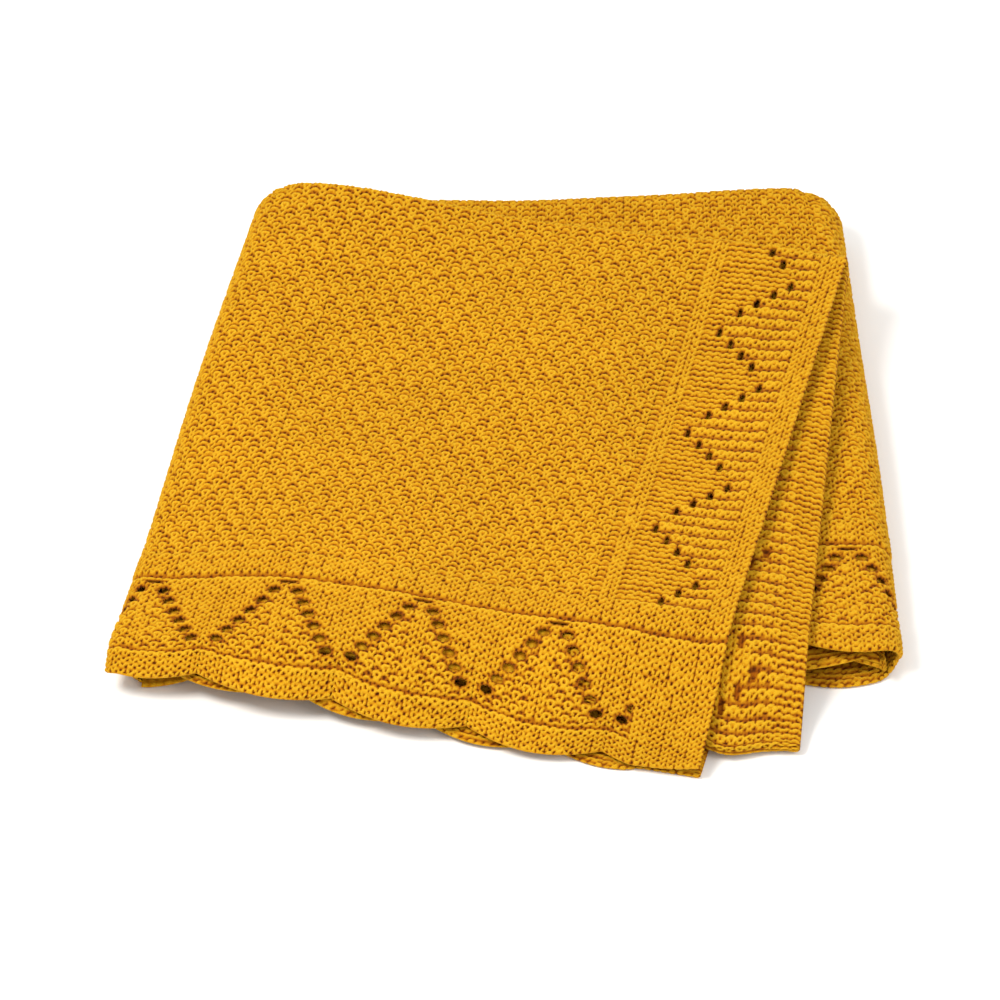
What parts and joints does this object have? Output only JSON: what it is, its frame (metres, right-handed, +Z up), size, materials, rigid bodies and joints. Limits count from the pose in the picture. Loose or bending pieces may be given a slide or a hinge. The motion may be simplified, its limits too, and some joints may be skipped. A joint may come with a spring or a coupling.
{
  "type": "folded knitted throw blanket",
  "caption": "Knitted throw blanket in mustard yarn, folded into a flat pack with a turned-over flap, lace borders and scalloped hems.",
  "frame": {"origin": "middle of the folded blanket's underside, where it rests on a table", "axes": "+Z up through the leaves, +X to the right along the scalloped front, +Y towards the back folds"},
  "size_m": [0.3364, 0.3356, 0.0423],
  "materials": {
    "moss_knit": "matte, two-ply yarn in double moss stitch",
    "lace_hem": "matte, knitted lace with eyelets",
    "knit_fold": "matte, knit rounded over a fold"
  },
  "bodies": {
    "under": {"right_fold_1": "knit_fold", "right_fold_2": "knit_fold", "right_fold_3": "knit_fold", "right_fold_4": "knit_fold", "under_back_fold_12": "knit_fold", "under_back_fold_34": "knit_fold", "under_front_fold_23": "knit_fold", "under_hem_1": "lace_hem", "under_hem_4": "lace_hem", "under_leaf_1": "moss_knit", "under_leaf_2": "moss_knit", "under_leaf_3": "moss_knit", "under_leaf_4": "moss_knit"},
    "centre": {"centre_back_fold_12": "knit_fold", "centre_back_fold_34": "knit_fold", "centre_front_fold_23": "knit_fold", "centre_hem_1": "lace_hem", "centre_hem_4": "lace_hem", "centre_leaf_1": "moss_knit", "centre_leaf_2": "moss_knit", "centre_leaf_3": "moss_knit", "centre_leaf_4": "moss_knit", "left_fold_1": "knit_fold", "left_fold_2": "knit_fold", "left_fold_3": "knit_fold", "left_fold_4": "knit_fold"},
    "flap": {"flap_back_fold_12": "knit_fold", "flap_back_fold_34": "knit_fold", "flap_front_fold_23": "knit_fold", "flap_hem_1": "lace_hem", "flap_hem_4": "lace_hem", "flap_leaf_1": "moss_knit", "flap_leaf_2": "moss_knit", "flap_leaf_3": "moss_knit", "flap_leaf_4": "moss_knit"}
  },
  "joints": [
    {"name": "right_fold", "type": "hinge", "parent": "under", "child": "centre", "pos_m": [0.14234, 0.02335, 0.01317], "axis": [-0.1011, 0.9949, 0.0013], "range_deg": [0, 135], "deforming": ["right_fold_1", "right_fold_2", "right_fold_3", "right_fold_4"]},
    {"name": "left_fold", "type": "hinge", "parent": "centre", "child": "flap", "pos_m": [-0.12366, 0.02335, 0.01983], "axis": [-0.2381, -0.9695, -0.0586], "range_deg": [0, 170], "deforming": ["left_fold_1", "left_fold_2", "left_fold_3", "left_fold_4"]}
  ]
}
